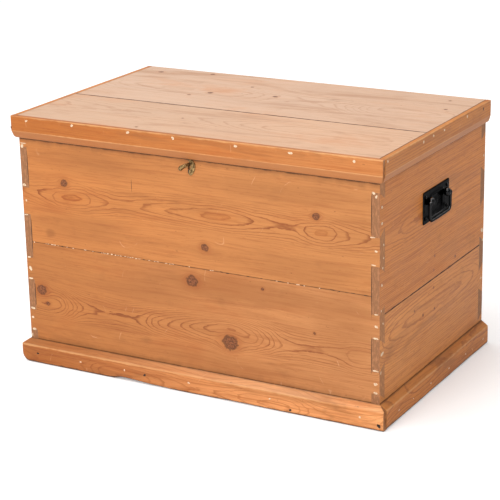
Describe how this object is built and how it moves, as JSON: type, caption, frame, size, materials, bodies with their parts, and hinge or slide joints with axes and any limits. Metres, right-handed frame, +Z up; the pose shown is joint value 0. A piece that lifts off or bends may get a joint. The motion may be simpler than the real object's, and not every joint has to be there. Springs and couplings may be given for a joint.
{
  "type": "blanket chest",
  "caption": "Dovetailed pine blanket chest with a moulded hinged lid, nailed plinth, iron drop handles on the ends and a box lock with key and swinging keyhole cover.",
  "frame": {"origin": "on the floor, at the middle of the whole chest's footprint, which reaches from the key's bow in front to the hinge knuckles behind", "axes": "+X along the chest's width, to the right as seen from the front; the front faces -Y; +Z up"},
  "size_m": [0.914, 0.5985, 0.577],
  "materials": {
    "waxed_pine": "aged waxed pine, orange brown, low sheen",
    "faded_pine": "worn waxed pine, paler, low sheen",
    "bare_pine": "unfinished aged pine, matt",
    "japanned_iron": "black japanned iron, glossy, worn",
    "dull_steel": "dull oxidised steel",
    "aged_brass": "tarnished brass"
  },
  "bodies": {
    "carcass": {"front_board_upper": "waxed_pine", "front_board_lower": "waxed_pine", "back_board_upper": "waxed_pine", "back_board_lower": "waxed_pine", "left_end_board_upper": "waxed_pine", "left_end_board_lower": "waxed_pine", "right_end_board_upper": "waxed_pine", "right_end_board_lower": "waxed_pine", "bottom_board_1": "bare_pine", "bottom_board_2": "bare_pine", "bottom_board_3": "bare_pine", "bottom_board_4": "bare_pine", "plinth_front": "waxed_pine", "plinth_left": "waxed_pine", "plinth_right": "waxed_pine", "lock_case": "japanned_iron", "lock_case_screw_left": "dull_steel", "lock_case_screw_right": "dull_steel", "cover_pin": "aged_brass", "hinge_left_body_leaf": "dull_steel", "hinge_left_pin": "dull_steel", "hinge_left_body_screw_1": "dull_steel", "hinge_left_body_screw_2": "dull_steel", "hinge_left_body_screw_3": "dull_steel", "handle_left_plate": "japanned_iron", "handle_left_screw_1": "japanned_iron", "handle_left_screw_2": "japanned_iron", "handle_left_screw_3": "japanned_iron", "handle_left_screw_4": "japanned_iron", "hinge_right_body_leaf": "dull_steel", "hinge_right_pin": "dull_steel", "hinge_right_body_screw_1": "dull_steel", "hinge_right_body_screw_2": "dull_steel", "hinge_right_body_screw_3": "dull_steel", "handle_right_plate": "japanned_iron", "handle_right_screw_1": "japanned_iron", "handle_right_screw_2": "japanned_iron", "handle_right_screw_3": "japanned_iron", "handle_right_screw_4": "japanned_iron"},
    "lid": {"lid_board_front": "faded_pine", "lid_board_back": "faded_pine", "lid_moulding_front": "waxed_pine", "lid_moulding_left": "waxed_pine", "lid_moulding_right": "waxed_pine", "lock_link_plate": "dull_steel", "link_plate_screw_left": "dull_steel", "link_plate_screw_right": "dull_steel", "hinge_left_lid_leaf": "dull_steel", "hinge_left_lid_screw_1": "dull_steel", "hinge_left_lid_screw_2": "dull_steel", "hinge_left_lid_screw_3": "dull_steel", "hinge_right_lid_leaf": "dull_steel", "hinge_right_lid_screw_1": "dull_steel", "hinge_right_lid_screw_2": "dull_steel", "hinge_right_lid_screw_3": "dull_steel"},
    "bail_left": {"handle_left_bail": "japanned_iron"},
    "bail_right": {"handle_right_bail": "japanned_iron"},
    "lock_key": {"key": "aged_brass"},
    "bolt": {"lock_bolt": "dull_steel"},
    "cover": {"keyhole_cover": "aged_brass"}
  },
  "joints": [
    {"name": "lid_hinge", "type": "hinge", "parent": "carcass", "child": "lid", "pos_m": [0, 0.29475, 0.55385], "axis": [-1, 0, 0], "range_deg": [0, 100]},
    {"name": "bail_left_swing", "type": "hinge", "parent": "carcass", "child": "bail_left", "pos_m": [-0.451, 0.01175, 0.4265], "axis": [0, 1, 0], "range_deg": [0, 95]},
    {"name": "bail_right_swing", "type": "hinge", "parent": "carcass", "child": "bail_right", "pos_m": [0.451, 0.01175, 0.4265], "axis": [0, -1, 0], "range_deg": [0, 95]},
    {"name": "key_turn", "type": "hinge", "parent": "carcass", "child": "lock_key", "pos_m": [-0.002, -0.26625, 0.5135], "axis": [0, 1, 0], "range_deg": [-75, 105]},
    {"name": "bolt_slide", "type": "slide", "parent": "carcass", "child": "bolt", "axis": [1, 0, 0], "range_m": [-0.005, 0.007]},
    {"name": "cover_swing", "type": "hinge", "parent": "carcass", "child": "cover", "pos_m": [0.002, -0.26625, 0.5222], "axis": [0, -1, 0], "range_deg": [0, 30]}
  ],
  "couplings": [
    {"joint": "bolt_slide", "follows": "key_turn", "m_per_rad": 0.0038}
  ]
}
